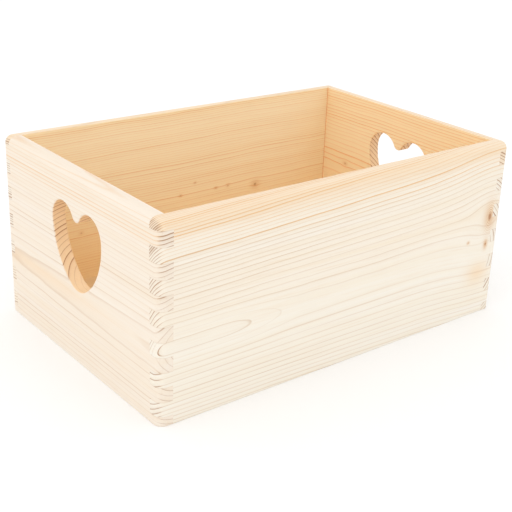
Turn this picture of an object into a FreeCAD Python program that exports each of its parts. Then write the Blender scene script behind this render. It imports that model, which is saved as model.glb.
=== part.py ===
import FreeCAD, Part
import math
import os
from FreeCAD import Vector

# Open wooden toy box: four solid pine boards finger-jointed at the corners, with a thin
# plywood floor let into a groove, and a heart-shaped hand hole in each end wall.
#
# Frame: millimetres, origin at the middle of the underside, +X along the long walls,
# -Y out of the front wall, +Z up.

# ---- Driving dimensions (mm) ----

BOX_LENGTH = 300.0
BOX_WIDTH = 199.0
BOX_HEIGHT = 133.0
WALL = 10.0

# Corner fingers, counted from the rim down. The front and back walls own the rim finger
# and every second one after it; the end walls own the others. The rim and foot fingers
# are what the full ones leave over.
FINGER_COUNT = 14
FINGER_PITCH = 10.0

# Sanded roundings: the four upright corners, the outer edge of the rim, and the small
# arrises of the inner rim, the foot and the hand holes.
CORNER_RADIUS = 6.0
RIM_OUTER_RADIUS = 5.5
RIM_INNER_EASE = 0.4
FOOT_EASE = 0.4
HEART_EASE = 1.0

# Plywood floor, held in a stopped groove all round.
FLOOR_THICKNESS = 4.0
FLOOR_TOP = 13.3
GROOVE_DEPTH = 5.0
GROOVE_END_PLAY = 0.5

# Heart-shaped hand hole: tangent arcs about an upright centre line. Two lobes, two sides
# and the blunt tip below bound the hole, and a rounded tooth of wood hangs between the lobes.
# The two end walls are the same board turned round, so their hearts are off centre in
# opposite directions: the left one towards the front, the right one towards the back.
HEART_OFFSET = 2.7
HEART_LOBE_LEVEL = 95.9
HEART_LOBE_SPREAD = 16.8
HEART_LOBE_RADIUS = 14.4
HEART_SIDE_RADIUS = 47.5
HEART_TOOTH_RADIUS = 4.8
HEART_TIP_RADIUS = 17.0

# ---- Derived dimensions ----

HALF_LENGTH = BOX_LENGTH / 2
HALF_WIDTH = BOX_WIDTH / 2
INNER_HALF_LENGTH = HALF_LENGTH - WALL
INNER_HALF_WIDTH = HALF_WIDTH - WALL
END_FINGER = (BOX_HEIGHT - (FINGER_COUNT - 2) * FINGER_PITCH) / 2
FLOOR_UNDERSIDE = FLOOR_TOP - FLOOR_THICKNESS
SAME = 1e-4


# ---- Small geometry helpers ----

def block(x_low, x_high, y_low, y_high, z_low, z_high):
    """Box between two corners."""
    corner = Vector(x_low, y_low, z_low)
    return Part.makeBox(x_high - x_low, y_high - y_low, z_high - z_low, corner)


def edges_where(shape, test):
    """Edges of a shape whose bounding box passes a test."""
    return [edge for edge in shape.Edges if test(edge.BoundBox)]


def arc(centre, radius, start, end):
    """Arc edge in the YZ plane, between two angles measured from +Y towards +Z."""
    points = []
    for angle in (start, (start + end) / 2, end):
        y = centre[0] + radius * math.cos(angle)
        z = centre[1] + radius * math.sin(angle)
        points.append(Vector(0, y, z))
    return Part.Arc(*points).toShape()


# ---- The ring of walls, before it is parted into its boards ----

def outer_block():
    """Solid with the box's outside shape: rounded corners and rim, and an eased foot."""
    solid = block(-HALF_LENGTH, HALF_LENGTH, -HALF_WIDTH, HALF_WIDTH, 0, BOX_HEIGHT)
    uprights = edges_where(solid, lambda box: box.ZLength > BOX_HEIGHT / 2)
    solid = solid.makeFillet(CORNER_RADIUS, uprights)
    rim = edges_where(solid, lambda box: box.ZMin > BOX_HEIGHT - SAME)
    solid = solid.makeFillet(RIM_OUTER_RADIUS, rim)
    foot = edges_where(solid, lambda box: box.ZMax < SAME)
    return solid.makeFillet(FOOT_EASE, foot)


def wall_ring():
    """The four walls as one ring, with the inner rim eased and the floor groove cut."""
    x, y = INNER_HALF_LENGTH, INNER_HALF_WIDTH
    ring = outer_block().cut(block(-x, x, -y, y, 0, BOX_HEIGHT))
    inner_rim = edges_where(
        ring,
        lambda box: box.ZMin > BOX_HEIGHT - SAME
        and max(abs(box.XMin), abs(box.XMax)) < x + SAME
        and max(abs(box.YMin), abs(box.YMax)) < y + SAME,
    )
    ring = ring.makeFillet(RIM_INNER_EASE, inner_rim)
    x += GROOVE_DEPTH
    y += GROOVE_DEPTH
    return ring.cut(block(-x, x, -y, y, FLOOR_UNDERSIDE, FLOOR_TOP))


# ---- Finger joints ----

def finger_levels(parity):
    """Low and high level of every finger with this parity, counted from the rim down."""
    levels = [BOX_HEIGHT]
    for index in range(FINGER_COUNT - 1):
        levels.append(BOX_HEIGHT - END_FINGER - index * FINGER_PITCH)
    levels.append(0.0)
    return [(levels[i + 1], levels[i]) for i in range(parity, FINGER_COUNT, 2)]


def board_region(along_x, side, parity):
    """Space that one wall board takes: its span between the corners, and its fingers."""
    if along_x:
        y_span = sorted((side * INNER_HALF_WIDTH, side * HALF_WIDTH))
        span = block(-INNER_HALF_LENGTH, INNER_HALF_LENGTH, *y_span, 0, BOX_HEIGHT)
        corners = [
            (-HALF_LENGTH, -INNER_HALF_LENGTH, *y_span),
            (INNER_HALF_LENGTH, HALF_LENGTH, *y_span),
        ]
    else:
        x_span = sorted((side * INNER_HALF_LENGTH, side * HALF_LENGTH))
        span = block(*x_span, -INNER_HALF_WIDTH, INNER_HALF_WIDTH, 0, BOX_HEIGHT)
        corners = [
            (*x_span, -HALF_WIDTH, -INNER_HALF_WIDTH),
            (*x_span, INNER_HALF_WIDTH, HALF_WIDTH),
        ]
    fingers = [block(*corner, *level) for corner in corners for level in finger_levels(parity)]
    return span.multiFuse(fingers).removeSplitter()


# ---- Heart-shaped hand hole ----

def heart_wire():
    """Closed outline of the heart in the YZ plane, about its own centre line at y = 0."""
    tooth_reach = HEART_LOBE_RADIUS + HEART_TOOTH_RADIUS
    tooth_rise = math.sqrt(tooth_reach**2 - HEART_LOBE_SPREAD**2)
    tooth_angle = math.atan2(tooth_rise, -HEART_LOBE_SPREAD)

    side_offset = HEART_SIDE_RADIUS - HEART_LOBE_SPREAD - HEART_LOBE_RADIUS
    tip_reach = HEART_SIDE_RADIUS - HEART_TIP_RADIUS
    tip_drop = math.sqrt(tip_reach**2 - side_offset**2)
    tip_angle = math.atan2(-tip_drop, side_offset)

    lobe = (HEART_LOBE_SPREAD, HEART_LOBE_LEVEL)
    side = (-side_offset, HEART_LOBE_LEVEL)
    tip = (0.0, HEART_LOBE_LEVEL - tip_drop)
    tooth = (0.0, HEART_LOBE_LEVEL + tooth_rise)

    right_half = [
        arc(side, HEART_SIDE_RADIUS, tip_angle, 0.0),
        arc(lobe, HEART_LOBE_RADIUS, 0.0, tooth_angle),
    ]
    middle = Vector(0, 0, 0)
    left_half = [edge.mirror(middle, Vector(0, 1, 0)) for edge in right_half]
    tip_edge = arc(tip, HEART_TIP_RADIUS, -math.pi - tip_angle, tip_angle)
    tooth_edge = arc(tooth, HEART_TOOTH_RADIUS, tooth_angle - math.pi, -tooth_angle)
    return Part.Wire(Part.sortEdges(right_half + left_half + [tip_edge, tooth_edge])[0])


def cut_heart(board, side):
    """Cut the heart through an end wall and ease its edge on both faces."""
    centre_y = side * HEART_OFFSET
    face = Part.Face(heart_wire())
    face.translate(Vector(side * HALF_LENGTH - BOX_LENGTH / 10, centre_y, 0))
    pierced = board.cut(face.extrude(Vector(BOX_LENGTH / 5, 0, 0)))
    reach = HEART_LOBE_SPREAD + HEART_LOBE_RADIUS + 1
    outline = edges_where(
        pierced,
        lambda box: box.XLength < SAME
        and abs(box.Center.y - centre_y) < reach
        and box.YLength < reach
        and BOX_HEIGHT / 3 < box.Center.z < BOX_HEIGHT - 2 * END_FINGER,
    )
    return pierced.makeFillet(HEART_EASE, outline)


# ---- The five pieces ----

def floor_panel():
    """Plywood panel that sits in the groove, with a little play at its edges."""
    x = INNER_HALF_LENGTH + GROOVE_DEPTH - GROOVE_END_PLAY
    y = INNER_HALF_WIDTH + GROOVE_DEPTH - GROOVE_END_PLAY
    return block(-x, x, -y, y, FLOOR_UNDERSIDE, FLOOR_TOP)


def build_pieces():
    """Every piece of the box by name."""
    ring = wall_ring()
    return {
        "front_wall": ring.common(board_region(True, -1, 0)),
        "back_wall": ring.common(board_region(True, 1, 0)),
        "left_end_wall": cut_heart(ring.common(board_region(False, -1, 1)), -1),
        "right_end_wall": cut_heart(ring.common(board_region(False, 1, 1)), 1),
        "floor_panel": floor_panel(),
    }


def main():
    """Build every piece, check it and write it as its own STEP file."""
    os.makedirs("parts", exist_ok=True)
    for name, shape in build_pieces().items():
        if shape.ShapeType != "Solid":
            shape = shape.Solids[0]
        if not shape.isValid():
            raise ValueError(name + " is not a valid solid")
        shape.exportStep("parts/" + name + ".step")
        print(name, round(shape.Volume / 1000, 2), "cm3", len(shape.Faces), "faces")


main()
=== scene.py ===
import logging
import math
from dataclasses import dataclass
from enum import Enum
from typing import Any

import bpy
from mathutils import Euler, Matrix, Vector


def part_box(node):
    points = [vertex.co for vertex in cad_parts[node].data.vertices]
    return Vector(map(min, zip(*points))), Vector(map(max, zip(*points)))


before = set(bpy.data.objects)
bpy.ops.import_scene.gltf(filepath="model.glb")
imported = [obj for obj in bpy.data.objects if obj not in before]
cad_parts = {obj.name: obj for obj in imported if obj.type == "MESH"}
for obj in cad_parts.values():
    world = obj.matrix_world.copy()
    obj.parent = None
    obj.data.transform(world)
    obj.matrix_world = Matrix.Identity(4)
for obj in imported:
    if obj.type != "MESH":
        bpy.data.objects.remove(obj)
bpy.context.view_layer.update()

# Looks of a wooden toy box: pine boards, a plywood floor, and a small studio around them.
#
# The five CAD pieces are shown as they are. Every board gets its own solid-wood material, cut
# from a log whose heart, rings, knots and grain bends are given in millimetres of the box.

LOG = logging.getLogger("toy_box")
MILLIMETRES = 1000.0
NOISE_ROUGHNESS = 0.55
BUMP_STRENGTH = 0.6

# Where a face turned edgeways can belong to a hand hole: within this reach of the middle of
# its wall, and at least this far below the rim and above the foot, in millimetres.
HOLE_REACH = 60.0
RIM_DEPTH = 7.0
FOOT_DEPTH = 20.0

Colour = tuple[float, float, float]


def paint(red: int, green: int, blue: int) -> Colour:
    """Turn a display colour into the linear colour that a shader works in.

    Args:
        red: Red from 0 to 255.
        green: Green from 0 to 255.
        blue: Blue from 0 to 255.

    Returns:
        The same colour as linear numbers from 0 to 1.
    """
    channels = [channel / 255 for channel in (red, green, blue)]
    return tuple(c / 12.92 if c <= 0.04045 else ((c + 0.055) / 1.055) ** 2.4 for c in channels)


# ---- Shader expressions ----


class Channel:
    """One socket of a material, used as a number in Python expressions."""

    def __init__(self, graph: "Graph", socket: bpy.types.NodeSocket) -> None:
        """Wrap a socket of a graph."""
        self.graph = graph
        self.socket = socket

    def out(self, name: str) -> "Channel":
        """Another output of the node that this channel comes from."""
        return Channel(self.graph, self.socket.node.outputs[name])

    def __add__(self, other: "Value") -> "Channel":
        """Sum."""
        return self.graph.math("ADD", self, other)

    def __radd__(self, other: float) -> "Channel":
        """Sum with a plain number in front."""
        return self.graph.math("ADD", other, self)

    def __sub__(self, other: "Value") -> "Channel":
        """Difference."""
        return self.graph.math("SUBTRACT", self, other)

    def __rsub__(self, other: float) -> "Channel":
        """Difference from a plain number."""
        return self.graph.math("SUBTRACT", other, self)

    def __mul__(self, other: "Value") -> "Channel":
        """Product."""
        return self.graph.math("MULTIPLY", self, other)

    def __rmul__(self, other: float) -> "Channel":
        """Product with a plain number in front."""
        return self.graph.math("MULTIPLY", other, self)

    def __truediv__(self, other: "Value") -> "Channel":
        """Quotient."""
        return self.graph.math("DIVIDE", self, other)

    def __rtruediv__(self, other: float) -> "Channel":
        """Quotient of a plain number."""
        return self.graph.math("DIVIDE", other, self)

    def __abs__(self) -> "Channel":
        """Size without its sign."""
        return self.graph.math("ABSOLUTE", self)

    def root(self) -> "Channel":
        """Square root."""
        return self.graph.math("SQRT", self)

    def exp(self) -> "Channel":
        """Natural exponential."""
        return self.graph.math("EXPONENT", self)

    def whole(self) -> "Channel":
        """Whole part, rounded down."""
        return self.graph.math("FLOOR", self)

    def part(self) -> "Channel":
        """What is left above the whole part."""
        return self.graph.math("FRACT", self)

    def at_most(self, other: "Value") -> "Channel":
        """The smaller of two."""
        return self.graph.math("MINIMUM", self, other)

    def at_least(self, other: "Value") -> "Channel":
        """The larger of two."""
        return self.graph.math("MAXIMUM", self, other)

    def rise(self, start: "Value", end: "Value") -> "Channel":
        """Smooth step from 0 at start to 1 at end.

        Args:
            start: Where the step leaves 0.
            end: Where the step reaches 1.

        Returns:
            The step, from 0 to 1.
        """
        sockets = {"Value": self, "From Min": start, "From Max": end}
        return self.graph.node("MapRange", {"interpolation_type": "SMOOTHSTEP"}, sockets)


Value = Channel | float


class Graph:
    """A new material and the nodes in it."""

    def __init__(self, name: str) -> None:
        """Start an empty material.

        Args:
            name: The material's name.
        """
        self.material = bpy.data.materials.new(name)
        self.material.use_nodes = True
        self.tree = self.material.node_tree
        self.tree.nodes.clear()

    def node(
        self,
        kind: str,
        settings: dict[str, Any] | None = None,
        sockets: dict[str | int, Any] | None = None,
        output: str | int = 0,
    ) -> Channel:
        """Add a node, set it up, feed it and hand back one of its outputs.

        Args:
            kind: Node type without its ShaderNode prefix.
            settings: Properties set first, or "stops" for a ramp.
            sockets: Values or channels for the inputs, by name or place.
            output: The output that is handed back.

        Returns:
            The chosen output as a channel.
        """
        made = self.tree.nodes.new("ShaderNode" + kind)
        for name, value in (settings or {}).items():
            if name == "stops":
                self.fill_ramp(made.color_ramp, value)
            else:
                setattr(made, name, value)
        for name, value in (sockets or {}).items():
            if isinstance(value, Channel):
                self.tree.links.new(value.socket, made.inputs[name])
            else:
                made.inputs[name].default_value = value
        return Channel(self, made.outputs[output])

    @staticmethod
    def fill_ramp(ramp: bpy.types.ColorRamp, stops: list[tuple[float, Colour]]) -> None:
        """Give a ramp its stops.

        Args:
            ramp: The ramp to fill.
            stops: Places from 0 to 1 with their linear colours.
        """
        while len(ramp.elements) > 1:
            ramp.elements.remove(ramp.elements[0])
        for index, (place, colour) in enumerate(stops):
            element = ramp.elements[0] if index == 0 else ramp.elements.new(place)
            element.position = place
            element.color = (*colour, 1.0)

    def math(self, operation: str, first: Value, second: Value | None = None) -> Channel:
        """Add a Math node.

        Args:
            operation: Its operation.
            first: First operand.
            second: Second operand, where the operation has one.

        Returns:
            Its result.
        """
        sockets = {0: first} if second is None else {0: first, 1: second}
        return self.node("Math", {"operation": operation}, sockets)

    def vector(self, x: Value, y: Value, z: Value) -> Channel:
        """Join three numbers into a vector."""
        return self.node("CombineXYZ", {}, {"X": x, "Y": y, "Z": z})

    def mix(self, share: Value, under: Any, over: Any, blend: str = "MIX") -> Channel:
        """Lay one colour over another.

        Args:
            share: How much of the upper colour shows, from 0 to 1.
            under: Lower colour, a linear colour or a channel.
            over: Upper colour, a linear colour or a channel.
            blend: How they are blended.

        Returns:
            The mixed colour.
        """
        under, over = [c if isinstance(c, Channel) else (*c, 1.0) for c in (under, over)]
        settings = {"data_type": "RGBA", "blend_type": blend, "clamp_factor": True}
        return self.node("Mix", settings, {0: share, 6: under, 7: over}, output=2)

    def place(self) -> tuple[Channel, Channel, Channel]:
        """Read where a point of the piece lies in the box.

        Returns:
            Its x, y and z in millimetres.
        """
        metres = self.node("TexCoord", {}, {}, output="Object")
        scaled = self.node("VectorMath", {"operation": "SCALE"}, {0: metres, "Scale": MILLIMETRES})
        x = self.node("SeparateXYZ", {}, {0: scaled}, output="X")
        return x, x.out("Y"), x.out("Z")

    def noise(self, place: Channel, detail: float, seed: float) -> Channel:
        """Cloudy noise centred on 0.

        Args:
            place: Where it is read, already scaled so that one unit is one cloud.
            detail: How many finer layers it has.
            seed: Shifts it to another part of the pattern.

        Returns:
            Noise from about -0.5 to 0.5.
        """
        sockets = {"Vector": place, "W": seed, "Scale": 1.0, "Detail": detail}
        sockets["Roughness"] = NOISE_ROUGHNESS
        return self.node("TexNoise", {"noise_dimensions": "4D"}, sockets) - 0.5

    def lottery(self, number: Channel, seed: float) -> Channel:
        """A steady random number from 0 to 1 for each whole number."""
        return self.node("TexWhiteNoise", {"noise_dimensions": "1D"}, {"W": number + seed})

    def surface(
        self, colour: Channel, roughness: Channel, relief: Channel, depth: float, gloss: float
    ) -> bpy.types.Material:
        """Close the material with a Principled shader.

        Args:
            colour: Colour over the surface.
            roughness: Roughness over the surface.
            relief: Height over the surface, from 0 to 1.
            depth: Height of a full step of relief, in metres.
            gloss: Specular level, the same all over.

        Returns:
            The finished material.
        """
        bump = self.node("Bump", {}, {"Distance": depth, "Height": relief, "Strength": BUMP_STRENGTH})
        sockets = {
            "Base Color": colour,
            "Roughness": roughness,
            "Normal": bump,
            "Specular IOR Level": gloss,
        }
        shader = self.node("BsdfPrincipled", {}, sockets)
        self.node_output(shader)
        return self.material

    def node_output(self, shader: Channel) -> None:
        """Join a shader to the material's output."""
        output = self.tree.nodes.new("ShaderNodeOutputMaterial")
        self.tree.links.new(shader.socket, output.inputs["Surface"])


# ---- Wood ----


@dataclass(frozen=True)
class Cloud:
    """A cloudy pattern in wood: clouds per millimetre each way, finer layers and seed."""

    along: float
    across: float
    height: float
    detail: float
    seed: float

    def over(self, graph: Graph, along: Channel, across: Channel, height: Channel) -> Channel:
        """Lay the pattern over a piece.

        Args:
            graph: The material.
            along: Place along the fibres.
            across: Place across the piece's thickness.
            height: Place above the foot.

        Returns:
            The pattern, from about -0.5 to 0.5.
        """
        place = graph.vector(along * self.along, across * self.across, height * self.height)
        return graph.noise(place, self.detail, self.seed)


@dataclass(frozen=True)
class Fingers:
    """Levels of the corner joints' seams: the lowest one and the step between them."""

    foot: float = 6.5
    pitch: float = 10.0


@dataclass(frozen=True)
class BoxSizes:
    """Half the inside length and width, the height and the walls' thickness, in millimetres."""

    half_length: float
    half_width: float
    height: float
    thickness: float


class Grain(Enum):
    """The axis of the box that a board's fibres follow."""

    ALONG_X = "X"
    ALONG_Y = "Y"

    @property
    def across(self) -> str:
        """The axis that runs through the board's thickness."""
        return "Y" if self is Grain.ALONG_X else "X"


@dataclass(frozen=True)
class Log:
    """The log that a board is sawn from: its heart line and its yearly rings.

    Places are millimetres of the box: along the fibres, across the board's thickness, and
    height above the foot. Each drift is what a millimetre along the fibres adds. Rings per mm
    hold at the heart, and their mean from the heart out grows by the crowding with each
    millimetre.
    """

    heart_across: float
    heart_height: float
    heart_across_drift: float = 0.0
    heart_height_drift: float = 0.0
    rings_per_mm: float = 0.2
    rings_crowding: float = 0.0012
    crowding_drift: float = 0.0
    first_ring: float = 0.0
    waviness: float = 2.0
    seed: float = 0.0
    unevenness: float = 1.0


@dataclass(frozen=True)
class Bend:
    """A place where the fibres swerve, as they do beside a branch."""

    along: float
    height: float
    reach_along: float
    reach_height: float
    push: float


@dataclass(frozen=True)
class Flame:
    """A stretch where rings close in pointed arches, as the saw leaves the log's heart."""

    along_open: float
    along_tip: float
    height: float
    reach: float
    rings: float


@dataclass(frozen=True)
class Knot:
    """A branch sawn through: a dark spot with its own rings, and the fibres swerve round it."""

    along: float
    height: float
    radius: float
    darkness: float = 0.8
    stretch: float = 1.25
    rings: float = 3.2

    def bend(self) -> Bend:
        """The swerve of the fibres close round the knot."""
        return Bend(self.along, self.height, self.radius * 3.0, self.radius * 2.2, 0.8)


@dataclass(frozen=True)
class Tint:
    """A band or patch of warmer colour: mostly warmer wood, while the low band on the back wall is
    painted shade.
    """

    along: float
    height: float
    reach_along: float
    reach_height: float
    amount: float
    slope: float = 0.0


@dataclass(frozen=True)
class PineTones:
    """Colours of bare sanded pine, with painted shade: the inside, inside-low and inside-line tones
    and the hole tone stand in for the shade and bounce light on the inner faces and in the hand hole.
    """

    pale: Colour = paint(243, 238, 228)
    creamy: Colour = paint(240, 230, 211)
    orange: Colour = paint(240, 205, 158)
    # Painted shade and bounce light: the inner faces are drawn in the inside tones, more orange
    # towards the foot.
    inside: Colour = paint(255, 237, 198)
    inside_low_shade: Colour = paint(255, 224, 172)
    warm_line: Colour = paint(230, 186, 134)
    brown_line: Colour = paint(206, 174, 140)
    # Painted shade on the inner faces' ring lines, also the colour of the painted shadow in the
    # inside corners.
    shaded_inside_line: Colour = paint(230, 168, 98)
    end_line: Colour = paint(176, 136, 104)
    # Painted shade on the cut faces of the hand hole.
    hole: Colour = paint(244, 206, 156)
    knot_heart: Colour = paint(200, 148, 104)
    knot_ring: Colour = paint(176, 124, 86)


@dataclass(frozen=True)
class PineShares:
    """How much the features of a pine board show.

    The first five are shares from 0 to 1. The gains are what a warm zone, the end grain and
    the hand hole add to the strength of the ring lines there.
    """

    # Painted shade: how much of the inner faces' and the hand hole's shaded tones shows.
    inside_painted_shade: float = 0.85
    hole_painted_shade: float = 0.8
    crevice: float = 0.4
    seam: float = 0.35
    darkest_line: float = 0.95
    warm_gain: float = 0.7
    end_gain: float = 1.4
    hole_gain: float = 0.25


@dataclass(frozen=True)
class Spot:
    """A point on a board: its place in millimetres, and which of the board's faces it is on.

    The end grain, the inner face and the edge of the hand hole are shares from 0 to 1.
    """

    x: Channel
    y: Channel
    height: Channel
    along: Channel
    across: Channel
    end: Channel
    inside: Channel
    hole: Channel


@dataclass(frozen=True)
class PineBoard:
    """Finish of one solid pine board.

    The inner face is its place across the board's thickness. Warm from and warm to are the
    heights between which the ring lines turn from greyish to yellow-orange. Lean is how far
    the rings sink per millimetre of the axis across the board, counted from the outer face.
    """

    name: str
    grain: Grain
    log: Log
    inner_face: float
    sizes: BoxSizes
    knots: tuple[Knot, ...] = ()
    bends: tuple[Bend, ...] = ()
    tints: tuple[Tint, ...] = ()
    flames: tuple[Flame, ...] = ()
    warm_from: float = 100.0
    warm_to: float = 120.0
    line_strength: float = 0.5
    line_width: float = 0.42
    lean: float = 0.0
    roughness: float = 0.56
    gloss: float = 0.32
    relief_depth: float = 0.00018
    tones: PineTones = PineTones()
    shares: PineShares = PineShares()
    fingers: Fingers = Fingers()
    fibres: Cloud = Cloud(along=0.03, across=0.9, height=0.9, detail=3, seed=3.1)
    streaks: Cloud = Cloud(along=0.004, across=0.12, height=0.22, detail=2, seed=7.7)

    def material(self) -> bpy.types.Material:
        """Build the board's material.

        Returns:
            The material, ready to put on the board.
        """
        graph = Graph(self.name)
        tones, shares = self.tones, self.shares
        spot = self.spot(graph)
        level = self.bent_height(spot.along, spot.height)
        leaned = level + (spot.across - self.outer_face) * self.lean
        ring, beyond, spacing = self.rings(graph, spot.along, spot.across, leaned)
        line = self.ring_line(graph, ring, beyond, spacing, spot.along)
        fibre = self.fibres.over(graph, spot.along, spot.across, level)
        streak = self.streaks.over(graph, spot.along, spot.across, level)
        warm = (spot.height + streak * 20).rise(self.warm_from, self.warm_to)
        line = line * (1 + warm * shares.warm_gain)
        gain = 1 + spot.end * shares.end_gain + spot.hole * shares.hole_gain

        colour = self.bare_wood(graph, spot, streak)
        share = (line * gain).at_most(shares.darkest_line)
        colour = graph.mix(share, colour, self.line_tone(graph, spot, warm))
        colour = graph.mix((fibre * -0.5).at_least(0.0), colour, tones.warm_line, "MULTIPLY")
        for knot in self.knots:
            colour = self.lay_knot(graph, knot, spot.along, spot.height, colour)
        crevice = self.crevice(spot) * shares.crevice
        colour = graph.mix(crevice, colour, tones.shaded_inside_line, "MULTIPLY")
        seam = self.seam(spot)
        colour = graph.mix(seam * shares.seam, colour, tones.brown_line)

        roughness = self.roughness + fibre * 0.2 - line * 0.12 + spot.end * 0.12
        relief = 0.5 + fibre * 0.5 + line * 0.25 - seam * 0.6
        return graph.surface(colour, roughness, relief, self.relief_depth, self.gloss)

    def spot(self, graph: Graph) -> Spot:
        """Read where a point lies and which of the board's faces it is on.

        Args:
            graph: The material.

        Returns:
            The point.
        """
        x, y, height = graph.place()
        along, across = (x, y) if self.grain is Grain.ALONG_X else (y, x)
        normal = graph.node("TexCoord", {}, {}, output="Normal")
        facing = graph.node("SeparateXYZ", {}, {0: normal}, output="X")
        end = abs(facing.out(self.grain.value)).rise(0.35, 0.9)
        inward = facing.out(self.grain.across) * math.copysign(1.0, -self.inner_face)
        inside = inward.rise(0.15, 0.6)
        rim = self.sizes.height - RIM_DEPTH
        hole = (1 - abs(inward).rise(0.3, 0.9)) * (1 - (abs(along) / HOLE_REACH).rise(0.9, 1.0))
        hole = hole * (1 - height.rise(rim, rim + 1.0)) * height.rise(FOOT_DEPTH, FOOT_DEPTH + 1.0)
        return Spot(x, y, height, along, across, end, inside, hole)

    def bare_wood(self, graph: Graph, spot: Spot, streak: Channel) -> Channel:
        """Colour the wood between its ring lines, with painted shade on the inner faces and on the
        cut faces of the hand hole.

        Args:
            graph: The material.
            spot: A point on the board.
            streak: Slow streaks along the fibres, from about -0.5 to 0.5.

        Returns:
            The wood's colour.
        """
        tones = self.tones
        colour = graph.mix(streak * 1.6 + 0.45, tones.pale, tones.creamy)
        for tint in self.tints:
            share = self.tint_share(tint, spot.along, spot.height)
            colour = graph.mix(share, colour, tones.orange)
        # Painted shade and bounce light on the inner faces, deeper towards the foot.
        inside_painted_shade = graph.mix(spot.height.rise(20.0, 85.0), tones.inside_low_shade, tones.inside)
        colour = graph.mix(spot.inside * self.shares.inside_painted_shade, colour, inside_painted_shade)
        # Painted shade on the cut faces of the hand hole.
        if self.grain is Grain.ALONG_Y:
            colour = graph.mix(spot.hole * self.shares.hole_painted_shade, colour, tones.hole)
        return colour

    def line_tone(self, graph: Graph, spot: Spot, warm: Channel) -> Channel:
        """Colour the ring lines, with painted shade on the inner faces and in the hand hole.

        Args:
            graph: The material.
            spot: A point on the board.
            warm: Share of the warm zone, from 0 to 1.

        Returns:
            The lines' colour.
        """
        tones = self.tones
        colour = graph.mix(warm, tones.brown_line, tones.warm_line)
        # Painted shade on the inner faces' lines.
        colour = graph.mix(spot.inside, colour, tones.shaded_inside_line)
        colour = graph.mix(spot.end, colour, tones.end_line)
        # Painted shade on the lines in the hand hole.
        if self.grain is Grain.ALONG_Y:
            colour = graph.mix(spot.hole, colour, tones.knot_ring)
        return colour

    def bent_height(self, along: Channel, height: Channel) -> Channel:
        """Height in the straight log of the fibres found at a place.

        Args:
            along: Place along the fibres.
            height: Place above the foot.

        Returns:
            The height that the same fibres have away from every bend.
        """
        level = height
        for bend in (*self.bends, *(knot.bend() for knot in self.knots)):
            aside = (along - bend.along) / bend.reach_along
            above = height - bend.height
            rise = above / bend.reach_height
            near = (0 - aside * aside - rise * rise).exp()
            level = level - above * near * bend.push
        return level

    def rings(
        self, graph: Graph, along: Channel, across: Channel, level: Channel
    ) -> tuple[Channel, Channel, Channel]:
        """Find the yearly ring at a place.

        Args:
            graph: The material.
            along: Place along the fibres.
            across: Place across the board's thickness.
            level: Height with the bends taken out.

        Returns:
            The ring's number, the share of it that lies further in, and rings per mm.
        """
        log = self.log
        slow = Cloud(along=0.011, across=0.02, height=0.02, detail=2, seed=log.seed)
        fine = Cloud(along=0.05, across=0.15, height=0.15, detail=2, seed=log.seed + 5)
        slow = slow.over(graph, along, across, level)
        fine = fine.over(graph, along, across, level)
        sway = slow * (2 * log.waviness) + fine * 0.9
        off_heart = across - log.heart_across - along * log.heart_across_drift + sway
        above_heart = level - log.heart_height - along * log.heart_height_drift + sway * 0.6
        radius = (off_heart * off_heart + above_heart * above_heart).root()
        crowding = log.rings_crowding + along * log.crowding_drift
        uneven = graph.noise(graph.vector(radius * 0.13, 0.0, 0.0), 1, log.seed + 9)
        count = radius * (log.rings_per_mm + radius * crowding) + log.first_ring
        count = count + uneven * log.unevenness
        for flame in self.flames:
            away = (level - flame.height) / flame.reach
            open_share = 1 - along.rise(flame.along_open, flame.along_tip)
            count = count - (0 - away * away).exp() * open_share * flame.rings
        spacing = log.rings_per_mm + radius * crowding * 2
        return count.whole(), count.part(), spacing

    def ring_line(
        self, graph: Graph, ring: Channel, beyond: Channel, spacing: Channel, along: Channel
    ) -> Channel:
        """Darkness of the summer wood: it deepens towards a ring's edge and stops sharply.

        Args:
            graph: The material.
            ring: Number of the ring.
            beyond: Share of the ring that lies further in.
            spacing: Rings per mm.
            along: Place along the fibres.

        Returns:
            The line's share of the colour, from 0 to 1.
        """
        to_edge = (1 - beyond) / spacing
        luck = graph.lottery(ring, self.log.seed)
        width = self.line_width * (0.6 + luck * 0.8)
        body = (1 - to_edge.rise(width * 0.3, width * 2.0)) * to_edge.rise(0.0, 0.25)
        soft = (0 - to_edge / (width * 3.0)).exp() * 0.25
        strength = graph.lottery(ring, self.log.seed + 17.3)
        fade = graph.noise(graph.vector(along * 0.012, ring * 3.7, 0.0), 1, self.log.seed)
        strength = self.line_strength * (0.5 + strength * strength * 0.9) * (1 + fade * 1.2)
        strength = strength * (spacing * 3.2).at_most(1.0)
        return (body + soft) * strength

    def tint_share(self, tint: Tint, along: Channel, height: Channel) -> Channel:
        """Share of a patch of warmer colour at a place.

        Args:
            tint: The patch.
            along: Place along the fibres.
            height: Place above the foot.

        Returns:
            The share, from 0 to 1.
        """
        aside = (along - tint.along) / tint.reach_along
        above = (height - tint.height - (along - tint.along) * tint.slope) / tint.reach_height
        return (0 - aside * aside - above * above).exp() * tint.amount

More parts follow.
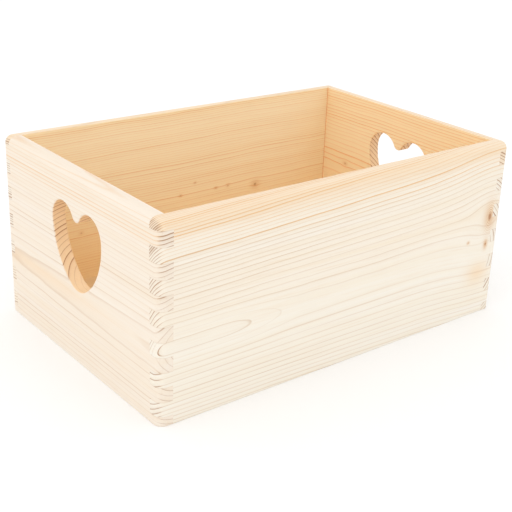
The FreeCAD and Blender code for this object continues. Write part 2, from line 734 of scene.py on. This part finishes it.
    def lay_knot(
        self, graph: Graph, knot: Knot, along: Channel, height: Channel, colour: Channel
    ) -> Channel:
        """Lay a knot over the wood's colour.

        Args:
            graph: The material.
            knot: The knot.
            along: Place along the fibres.
            height: Place above the foot.
            colour: The wood's colour so far.

        Returns:
            The colour with the knot in it.
        """
        aside = (along - knot.along) / knot.stretch
        above = height - knot.height
        ragged = graph.noise(graph.vector(along * 0.4, height * 0.4, 0.0), 2, knot.along)
        off = (aside * aside + above * above).root() / knot.radius + ragged * 0.25
        halo = (0 - off * off * 0.3).exp() * knot.darkness
        colour = graph.mix(halo * 0.7, colour, self.tones.orange, "MULTIPLY")
        ripple = (abs((off * knot.rings).part() - 0.5) * 2).rise(0.3, 0.9)
        colour = graph.mix(halo * ripple, colour, self.tones.knot_heart)
        body = (1 - off.rise(0.25, 0.7)) * knot.darkness
        return graph.mix(body, colour, self.tones.knot_ring)

    def crevice(self, spot: Spot) -> Channel:
        """Share of the narrow shadow in the box's inside corners.

        Args:
            spot: A point on the board.

        Returns:
            The share, from 0 to 1.
        """
        along_x = self.grain is Grain.ALONG_X
        inner_end = self.sizes.half_length if along_x else self.sizes.half_width
        return spot.inside * (1 - (inner_end - abs(spot.along)).rise(0.2, 0.9))

    def seam(self, spot: Spot) -> Channel:
        """Share of the hairlines of the glued finger joints at the box's corners.

        Args:
            spot: A point on the board.

        Returns:
            The share, from 0 to 1.
        """
        in_corner = (abs(spot.x) - self.sizes.half_length).rise(-0.1, 0.1)
        in_corner = in_corner * (abs(spot.y) - self.sizes.half_width).rise(-0.1, 0.1)
        pitch = self.fingers.pitch
        step = (spot.height - self.fingers.foot) / pitch
        from_edge = abs((step + 0.5).part() - 0.5) * pitch
        return (1 - from_edge.rise(0.04, 0.22)) * in_corner

    @property
    def outer_face(self) -> float:
        """Place of the board's outer face across its thickness."""
        return self.inner_face + math.copysign(self.sizes.thickness, self.inner_face)


@dataclass(frozen=True)
class PlywoodFinish:
    """Finish of the birch plywood floor."""

    name: str = "birch_plywood"
    pale: Colour = paint(240, 214, 172)
    tan: Colour = paint(226, 190, 142)
    dark: Colour = paint(190, 146, 98)
    roughness: float = 0.6
    gloss: float = 0.3
    relief_depth: float = 0.00012
    swells: Cloud = Cloud(along=0.004, across=0.022, height=0.2, detail=2, seed=2.4)
    pores: Cloud = Cloud(along=0.12, across=2.2, height=2.2, detail=3, seed=8.2)
    clouds: Cloud = Cloud(along=0.02, across=0.05, height=0.1, detail=2, seed=5.5)

    def material(self) -> bpy.types.Material:
        """Build the plywood's material.

        Returns:
            The material, ready to put on the floor panel.
        """
        graph = Graph(self.name)
        x, y, z = graph.place()
        swell = self.swells.over(graph, x, y, z)
        figure = abs((swell * 9 + y * 0.02).part() - 0.5) * 2
        pores = self.pores.over(graph, x, y, z)
        cloud = self.clouds.over(graph, x, y, z)
        colour = graph.mix(cloud + 0.5, self.pale, self.tan)
        colour = graph.mix(figure.rise(0.45, 1.0) * 0.2, colour, self.dark)
        colour = graph.mix(pores.rise(0.1, 0.35) * 0.3, colour, self.dark)
        roughness = self.roughness + pores * 0.2
        relief = 0.5 - pores * 0.5 + figure * 0.1
        return graph.surface(colour, roughness, relief, self.relief_depth, self.gloss)


# ---- The box ----


@dataclass
class Piece:
    """A CAD piece of the box and its finish."""

    node: str
    finish: PineBoard | PlywoodFinish

    def dress(self) -> bpy.types.Object:
        """Put the finish on the CAD piece.

        Returns:
            The dressed piece.
        """
        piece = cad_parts[self.node]
        put_on(piece, self.finish.material())
        return piece


class WallBoard(Piece):
    """One of the four pine walls."""


class FloorPanel(Piece):
    """The plywood floor."""


def put_on(piece: bpy.types.Object, material: bpy.types.Material) -> None:
    """Fill every material slot of a piece with one material.

    Args:
        piece: The piece.
        material: Its material.
    """
    piece.data.materials.clear()
    piece.data.materials.append(material)


def box_sizes() -> BoxSizes:
    """Take the sizes that the finishes need from the CAD pieces.

    Returns:
        The sizes.
    """
    outer, inner_left = (corner.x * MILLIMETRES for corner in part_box("left_end_wall"))
    inner_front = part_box("front_wall")[1] * MILLIMETRES
    return BoxSizes(-inner_left, -inner_front.y, inner_front.z, inner_left - outer)


@dataclass
class ToyBox:
    """The whole box: four pine walls and a plywood floor."""

    sizes: BoxSizes

    def front(self) -> PineBoard:
        """Finish the front wall: knots near its right end, and arches at its left end.

        Returns:
            The wall's finish.
        """
        log = Log(
            heart_across=-107.0,
            heart_height=53.5,
            heart_height_drift=0.012,
            rings_per_mm=0.13,
            rings_crowding=0.0019,
            crowding_drift=-0.000004,
            first_ring=0.35,
            waviness=1.6,
            seed=4.0,
            unevenness=0.6,
        )
        return PineBoard(
            name="pine_front",
            grain=Grain.ALONG_X,
            inner_face=-self.sizes.half_width,
            log=log,
            flames=(Flame(-105.0, -40.0, 53.0, 11.0, 2.0),),
            knots=(
                Knot(137.0, 77.5, 5.8, 0.85, 0.55),
                Knot(135.6, 56.0, 2.0, 1.0, 0.6),
                Knot(116.0, 61.0, 0.7),
            ),
            bends=(Bend(139.0, 77.0, 42.0, 46.0, 0.3),),
            tints=(
                Tint(130.0, 34.0, 12.0, 9.0, 0.5),
                Tint(0.0, 130.0, 400.0, 9.0, 0.5),
                Tint(0.0, 85.0, 400.0, 26.0, 0.14),
            ),
            line_strength=0.74,
            lean=0.9,
            sizes=self.sizes,
        )

    def back(self) -> PineBoard:
        """Finish the back wall: close straight rings and a row of pin knots.

        Returns:
            The wall's finish.
        """
        log = Log(
            heart_across=80.0,
            heart_height=-70.0,
            heart_height_drift=0.01,
            rings_per_mm=0.36,
            rings_crowding=0.0006,
            first_ring=0.2,
            waviness=3.0,
            seed=11.0,
            unevenness=1.5,
        )
        return PineBoard(
            name="pine_back",
            grain=Grain.ALONG_X,
            inner_face=self.sizes.half_width,
            log=log,
            knots=(
                Knot(65.0, 60.0, 2.0, 0.6),
                Knot(37.0, 64.0, 0.8, 0.5),
                Knot(25.0, 64.0, 0.8, 0.4),
                Knot(-9.0, 64.0, 0.8, 0.4),
                Knot(4.6, 72.0, 0.7, 0.4),
                Knot(-97.0, 51.0, 1.0, 0.4),
            ),
            # The broad low band is painted shade towards the foot of the wall.
            tints=(Tint(0.0, 20.0, 400.0, 30.0, 0.2), Tint(0.0, 132.0, 400.0, 4.5, 0.65)),
            line_strength=0.46,
            warm_from=150.0,
            warm_to=170.0,
            sizes=self.sizes,
        )

    def left(self) -> PineBoard:
        """Finish the left end wall: even rings, and one warmer band level with its heart.

        Returns:
            The wall's finish.
        """
        log = Log(
            heart_across=-131.2,
            heart_height=49.0,
            heart_across_drift=0.019,
            heart_height_drift=-0.015,
            rings_per_mm=0.22,
            first_ring=-0.2,
            waviness=0.6,
            seed=21.0,
            unevenness=0.3,
        )
        return PineBoard(
            name="pine_left",
            grain=Grain.ALONG_Y,
            inner_face=-self.sizes.half_length,
            log=log,
            tints=(Tint(60.0, 47.5, 90.0, 5.0, 0.4, -0.015),),
            line_strength=0.4,
            tones=PineTones(pale=paint(241, 231, 218), creamy=paint(238, 223, 202)),
            sizes=self.sizes,
        )

    def right(self) -> PineBoard:
        """Finish the right end wall: strong lines, orange painted shade on its inner face, and one
        small knot.

        Returns:
            The wall's finish.
        """
        log = Log(
            heart_across=106.0,
            heart_height=50.0,
            rings_crowding=0.0015,
            first_ring=0.5,
            seed=31.0,
        )
        return PineBoard(
            name="pine_right",
            grain=Grain.ALONG_Y,
            inner_face=self.sizes.half_length,
            log=log,
            knots=(Knot(62.0, 73.0, 1.3, 0.5),),
            tints=(Tint(0.0, 126.0, 400.0, 14.0, 0.5),),
            line_strength=0.62,
            # Painted shade on the inner face: its tone and its ring lines drawn more orange.
            tones=PineTones(inside=paint(255, 231, 186), shaded_inside_line=paint(240, 168, 98)),
            sizes=self.sizes,
        )

    def build(self) -> None:
        """Dress every piece of the box and report it."""
        pieces = (
            WallBoard("front_wall", self.front()),
            WallBoard("back_wall", self.back()),
            WallBoard("left_end_wall", self.left()),
            WallBoard("right_end_wall", self.right()),
            FloorPanel("floor_panel", PlywoodFinish()),
        )
        for piece in pieces:
            made = piece.dress()
            LOG.info("%s: %d faces", made.name, len(made.data.polygons))


# ---- Studio ----


@dataclass
class Studio:
    """Plain pale floor, soft light all round and one large lamp over the left end."""

    floor_size: float = 40.0
    floor_tone: Colour = (0.96, 0.96, 0.96)
    floor_roughness: float = 0.9
    floor_gloss: float = 0.1
    sky_strength: float = 1.075
    lamp_place: Vector = Vector((-2.0, -0.5, 1.9))
    lamp_size: float = 1.8
    lamp_watts: float = 6.0

    def build(self) -> None:
        """Set up the floor, the sky and the lamp."""
        self.lay_floor()
        self.light_sky()
        self.hang_lamp()
        bpy.context.scene.view_settings.view_transform = "Standard"

    def lay_floor(self) -> None:
        """Lay the floor under the box."""
        half = self.floor_size / 2
        corners = [(-half, -half, 0), (half, -half, 0), (half, half, 0), (-half, half, 0)]
        mesh = bpy.data.meshes.new("studio_floor")
        mesh.from_pydata(corners, [], [(0, 1, 2, 3)])
        floor = bpy.data.objects.new("studio_floor", mesh)
        bpy.context.scene.collection.objects.link(floor)
        graph = Graph("studio_floor")
        sockets = {
            "Base Color": (*self.floor_tone, 1.0),
            "Roughness": self.floor_roughness,
            "Specular IOR Level": self.floor_gloss,
        }
        graph.node_output(graph.node("BsdfPrincipled", {}, sockets))
        put_on(floor, graph.material)

    def light_sky(self) -> None:
        """Light the box evenly from all round."""
        world = bpy.data.worlds.new("soft_white")
        world.use_nodes = True
        background = world.node_tree.nodes["Background"]
        background.inputs["Color"].default_value = (1.0, 1.0, 1.0, 1.0)
        background.inputs["Strength"].default_value = self.sky_strength
        bpy.context.scene.world = world

    def hang_lamp(self) -> None:
        """Hang the large soft lamp, turned to the middle of the box."""
        light = bpy.data.lights.new("large_lamp", "AREA")
        light.size = self.lamp_size
        light.energy = self.lamp_watts
        lamp = bpy.data.objects.new("large_lamp", light)
        lamp.location = self.lamp_place
        lamp.rotation_euler = (-self.lamp_place).to_track_quat("-Z", "Y").to_euler()
        bpy.context.scene.collection.objects.link(lamp)


@dataclass
class View:
    """The camera: in front of the box to its left, a little above it."""

    place: Vector = Vector((-0.43529, -0.54652, 0.33933))
    turn: tuple[float, float, float] = (67.7931, -2.4320, -38.7049)
    lens: float = 72.255
    shift: tuple[float, float] = (-0.04296, -0.02841)

    def build(self) -> None:
        """Set up the camera and make it the scene's own."""
        data = bpy.data.cameras.new("view")
        data.lens = self.lens
        data.sensor_width = 36.0
        data.shift_x, data.shift_y = self.shift
        camera = bpy.data.objects.new("view", data)
        camera.location = self.place
        camera.rotation_euler = Euler([math.radians(angle) for angle in self.turn], "XYZ")
        bpy.context.scene.collection.objects.link(camera)
        bpy.context.scene.camera = camera


def main() -> None:
    """Build the view, the box and the studio."""
    logging.basicConfig(level=logging.INFO)
    View().build()
    ToyBox(box_sizes()).build()
    Studio().build()


if __name__ == "__main__":
    main()
